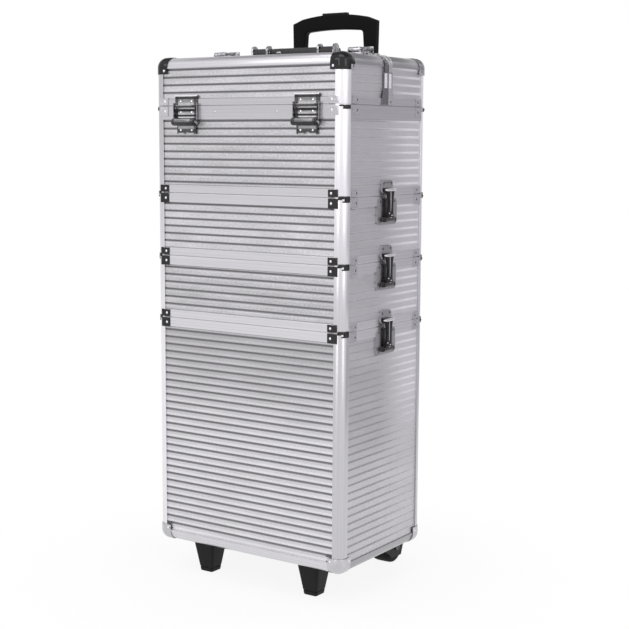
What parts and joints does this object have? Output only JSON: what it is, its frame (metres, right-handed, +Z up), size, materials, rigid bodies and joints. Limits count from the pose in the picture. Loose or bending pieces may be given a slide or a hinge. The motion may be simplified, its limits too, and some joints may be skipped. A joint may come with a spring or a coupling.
{
  "type": "rolling makeup case",
  "caption": "Tall rolling makeup case of stacked aluminium-framed tiers with ribbed panels, side latches, a split lid with fold-out trays, a carry handle and a telescopic trolley.",
  "frame": {"origin": "on the floor under the middle of the bounding footprint", "axes": "+X to the right seen from the front, +Y to the rear where the trolley handle is, +Z up"},
  "size_m": [0.384, 0.29, 0.9154],
  "materials": {
    "ribbed_panel": "embossed satin",
    "frame_aluminium": "satin anodised",
    "dark_chrome": "polished",
    "corner_steel": "satin",
    "chrome": "polished",
    "black_plastic": "satin",
    "steel": "satin",
    "tube_aluminium": "satin anodised",
    "tray_black": "fine grain",
    "button_plastic": "satin",
    "tyre": "matte",
    "hub_plastic": "satin"
  },
  "bodies": {
    "base": {"base_panels": "ribbed_panel", "base_frame": "frame_aluminium", "base_corner_caps": "corner_steel", "base_brackets": "dark_chrome", "base_latch_plates": "chrome", "front_feet": "black_plastic", "wheel_housings": "black_plastic", "wheel_axles": "steel", "trolley_outer_tubes": "tube_aluminium", "trolley_clamps": "black_plastic"},
    "lower_tier": {"lower_panels": "ribbed_panel", "lower_frame": "frame_aluminium", "lower_brackets": "dark_chrome", "lower_latch_plates": "chrome"},
    "upper_tier": {"upper_panels": "ribbed_panel", "upper_frame": "frame_aluminium", "upper_brackets": "dark_chrome", "upper_latch_plates": "chrome"},
    "top_case": {"top_panels": "ribbed_panel", "top_frame": "frame_aluminium", "top_brackets": "dark_chrome", "top_strikes": "chrome", "hinge_body_leaves": "chrome", "hinge_pins": "chrome", "tray_wall_studs": "steel", "rear_lid_panels": "ribbed_panel", "rear_lid_frame": "frame_aluminium", "rear_lid_caps": "dark_chrome", "rear_lid_hinge_leaves": "chrome", "rear_lid_strikes": "chrome", "carry_handle_brackets": "chrome", "rear_trays": "tray_black", "rear_tray_arms": "steel"},
    "front_lid": {"front_lid_panels": "ribbed_panel", "front_lid_frame": "frame_aluminium", "front_lid_caps": "dark_chrome", "front_lid_hinge_leaves": "chrome", "top_latch_bases": "chrome"},
    "left_top_latch": {"left_top_latch": "chrome"},
    "right_top_latch": {"right_top_latch": "chrome"},
    "front_tray_arms": {"front_tray_arms": "steel"},
    "front_tray_links": {"front_tray_links": "steel"},
    "front_lower_tray": {"front_lower_tray": "tray_black"},
    "front_upper_tray": {"front_upper_tray": "tray_black"},
    "carry_handle": {"carry_handle": "black_plastic"},
    "trolley_middle": {"trolley_middle_tubes": "tube_aluminium"},
    "trolley_handle": {"trolley_inner_tubes": "tube_aluminium", "trolley_grip": "black_plastic"},
    "trolley_button": {"trolley_button": "button_plastic"},
    "left_wheel": {"left_tyre": "tyre", "left_hub": "hub_plastic"},
    "right_wheel": {"right_tyre": "tyre", "right_hub": "hub_plastic"},
    "base_left_latch": {"base_left_latch": "dark_chrome"},
    "base_right_latch": {"base_right_latch": "dark_chrome"},
    "lower_left_latch": {"lower_left_latch": "dark_chrome"},
    "lower_right_latch": {"lower_right_latch": "dark_chrome"},
    "upper_left_latch": {"upper_left_latch": "dark_chrome"},
    "upper_right_latch": {"upper_right_latch": "dark_chrome"}
  },
  "joints": [
    {"name": "lower_tier_lift", "type": "slide", "parent": "base", "child": "lower_tier", "axis": [0, 0, 1], "range_m": [0, 0.07]},
    {"name": "upper_tier_lift", "type": "slide", "parent": "lower_tier", "child": "upper_tier", "axis": [0, 0, 1], "range_m": [0, 0.07]},
    {"name": "top_case_lift", "type": "slide", "parent": "upper_tier", "child": "top_case", "axis": [0, 0, 1], "range_m": [0, 0.07]},
    {"name": "base_left_latch_turn", "type": "hinge", "parent": "base", "child": "base_left_latch", "pos_m": [-0.1858, -0.0125, 0.387], "axis": [0, -1, 0], "range_deg": [0, 130]},
    {"name": "base_right_latch_turn", "type": "hinge", "parent": "base", "child": "base_right_latch", "pos_m": [0.1858, -0.0125, 0.387], "axis": [0, 1, 0], "range_deg": [0, 130]},
    {"name": "lower_left_latch_turn", "type": "hinge", "parent": "lower_tier", "child": "lower_left_latch", "pos_m": [-0.1858, -0.0125, 0.487], "axis": [0, -1, 0], "range_deg": [0, 130]},
    {"name": "lower_right_latch_turn", "type": "hinge", "parent": "lower_tier", "child": "lower_right_latch", "pos_m": [0.1858, -0.0125, 0.487], "axis": [0, 1, 0], "range_deg": [0, 130]},
    {"name": "upper_left_latch_turn", "type": "hinge", "parent": "upper_tier", "child": "upper_left_latch", "pos_m": [-0.1858, -0.0125, 0.587], "axis": [0, -1, 0], "range_deg": [0, 130]},
    {"name": "upper_right_latch_turn", "type": "hinge", "parent": "upper_tier", "child": "upper_right_latch", "pos_m": [0.1858, -0.0125, 0.587], "axis": [0, 1, 0], "range_deg": [0, 130]},
    {"name": "front_lid_open", "type": "hinge", "parent": "top_case", "child": "front_lid", "pos_m": [0, -0.139, 0.734], "axis": [1, 0, 0], "range_deg": [0, 100]},
    {"name": "left_top_latch_open", "type": "hinge", "parent": "front_lid", "child": "left_top_latch", "pos_m": [-0.1295, -0.0265, 0.8438], "axis": [1, 0, 0], "range_deg": [0, 150]},
    {"name": "right_top_latch_open", "type": "hinge", "parent": "front_lid", "child": "right_top_latch", "pos_m": [0.1295, -0.0265, 0.8438], "axis": [1, 0, 0], "range_deg": [0, 150]},
    {"name": "front_tray_arms_swing", "type": "hinge", "parent": "top_case", "child": "front_tray_arms", "pos_m": [0, -0.0965, 0.744], "axis": [1, 0, 0], "range_deg": [0, 80]},
    {"name": "front_tray_links_swing", "type": "hinge", "parent": "top_case", "child": "front_tray_links", "pos_m": [0, -0.0725, 0.744], "axis": [1, 0, 0], "range_deg": [0, 80]},
    {"name": "front_lower_tray_level", "type": "hinge", "parent": "front_tray_arms", "child": "front_lower_tray", "pos_m": [0, -0.06963, 0.776], "axis": [1, 0, 0], "range_deg": [-80, 0]},
    {"name": "front_upper_tray_level", "type": "hinge", "parent": "front_tray_arms", "child": "front_upper_tray", "pos_m": [0, -0.0478, 0.802], "axis": [1, 0, 0], "range_deg": [-80, 0]},
    {"name": "carry_handle_raise", "type": "hinge", "parent": "top_case", "child": "carry_handle", "pos_m": [0, -0.003, 0.845], "axis": [1, 0, 0], "range_deg": [0, 95]},
    {"name": "trolley_lower_stage", "type": "slide", "parent": "base", "child": "trolley_middle", "axis": [0, 0, 1], "range_m": [-0.19, 0.07]},
    {"name": "trolley_upper_stage", "type": "slide", "parent": "trolley_middle", "child": "trolley_handle", "axis": [0, 0, 1], "range_m": [-0.19, 0.07]},
    {"name": "trolley_button_press", "type": "slide", "parent": "trolley_handle", "child": "trolley_button", "axis": [0, 0, -1], "range_m": [0, 0.002], "stiffness_N_per_m": 900, "springref_m": -0.0015},
    {"name": "left_wheel_roll", "type": "hinge", "parent": "base", "child": "left_wheel", "pos_m": [-0.1095, 0.117, 0.028], "axis": [1, 0, 0], "continuous": true},
    {"name": "right_wheel_roll", "type": "hinge", "parent": "base", "child": "right_wheel", "pos_m": [0.1095, 0.117, 0.028], "axis": [1, 0, 0], "continuous": true}
  ],
  "couplings": [
    {"joint": "base_left_latch_turn", "follows": "lower_tier_lift", "rad_per_m": 32.413},
    {"joint": "base_right_latch_turn", "follows": "lower_tier_lift", "rad_per_m": 32.413},
    {"joint": "lower_left_latch_turn", "follows": "upper_tier_lift", "rad_per_m": 32.413},
    {"joint": "lower_right_latch_turn", "follows": "upper_tier_lift", "rad_per_m": 32.413},
    {"joint": "upper_left_latch_turn", "follows": "top_case_lift", "rad_per_m": 32.413},
    {"joint": "upper_right_latch_turn", "follows": "top_case_lift", "rad_per_m": 32.413},
    {"joint": "front_tray_arms_swing", "follows": "front_lid_open", "ratio": 0.8},
    {"joint": "front_tray_links_swing", "follows": "front_lid_open", "ratio": 0.8},
    {"joint": "front_lower_tray_level", "follows": "front_lid_open", "ratio": -0.8},
    {"joint": "front_upper_tray_level", "follows": "front_lid_open", "ratio": -0.8}
  ]
}
